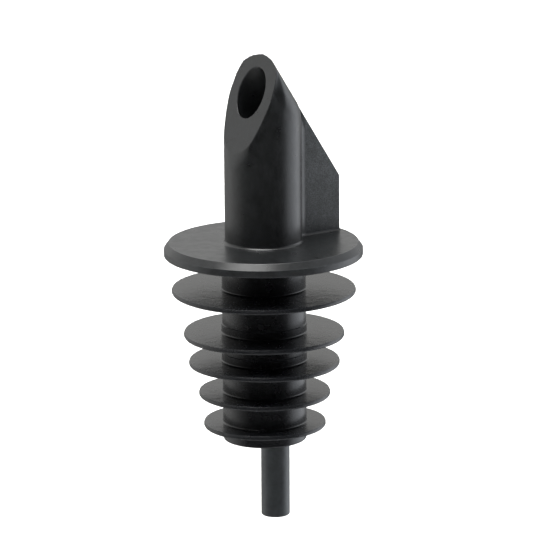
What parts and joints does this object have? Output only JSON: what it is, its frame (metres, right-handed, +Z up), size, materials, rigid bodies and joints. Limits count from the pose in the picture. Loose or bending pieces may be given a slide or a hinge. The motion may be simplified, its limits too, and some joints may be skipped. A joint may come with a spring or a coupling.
{
  "type": "liquor pour spout",
  "caption": "Plastic free-flow pour spout with a slanted mouth and back fin, on a soft finned stopper with a breather tube, for a spirit bottle.",
  "frame": {"origin": "the middle of the collar's underside, level with the rim of the bottle that it stands in", "axes": "+Z runs up the spout away from the bottle, -Y is the side the mouth faces, +Y the side of the fin, +X to the right of someone looking along +Y"},
  "size_m": [0.0332, 0.0332, 0.0796],
  "materials": {
    "spout_body": "satin",
    "stopper": "satin",
    "breather_tube": "satin"
  },
  "bodies": {
    "stopper": {"stopper": "stopper"},
    "spout": {"spout_body": "spout_body", "breather_tube": "breather_tube"}
  },
  "joints": [
    {"name": "spout_turn", "type": "hinge", "parent": "stopper", "child": "spout", "pos_m": [0, 0, 0], "axis": [0, 0, 1], "continuous": true}
  ]
}
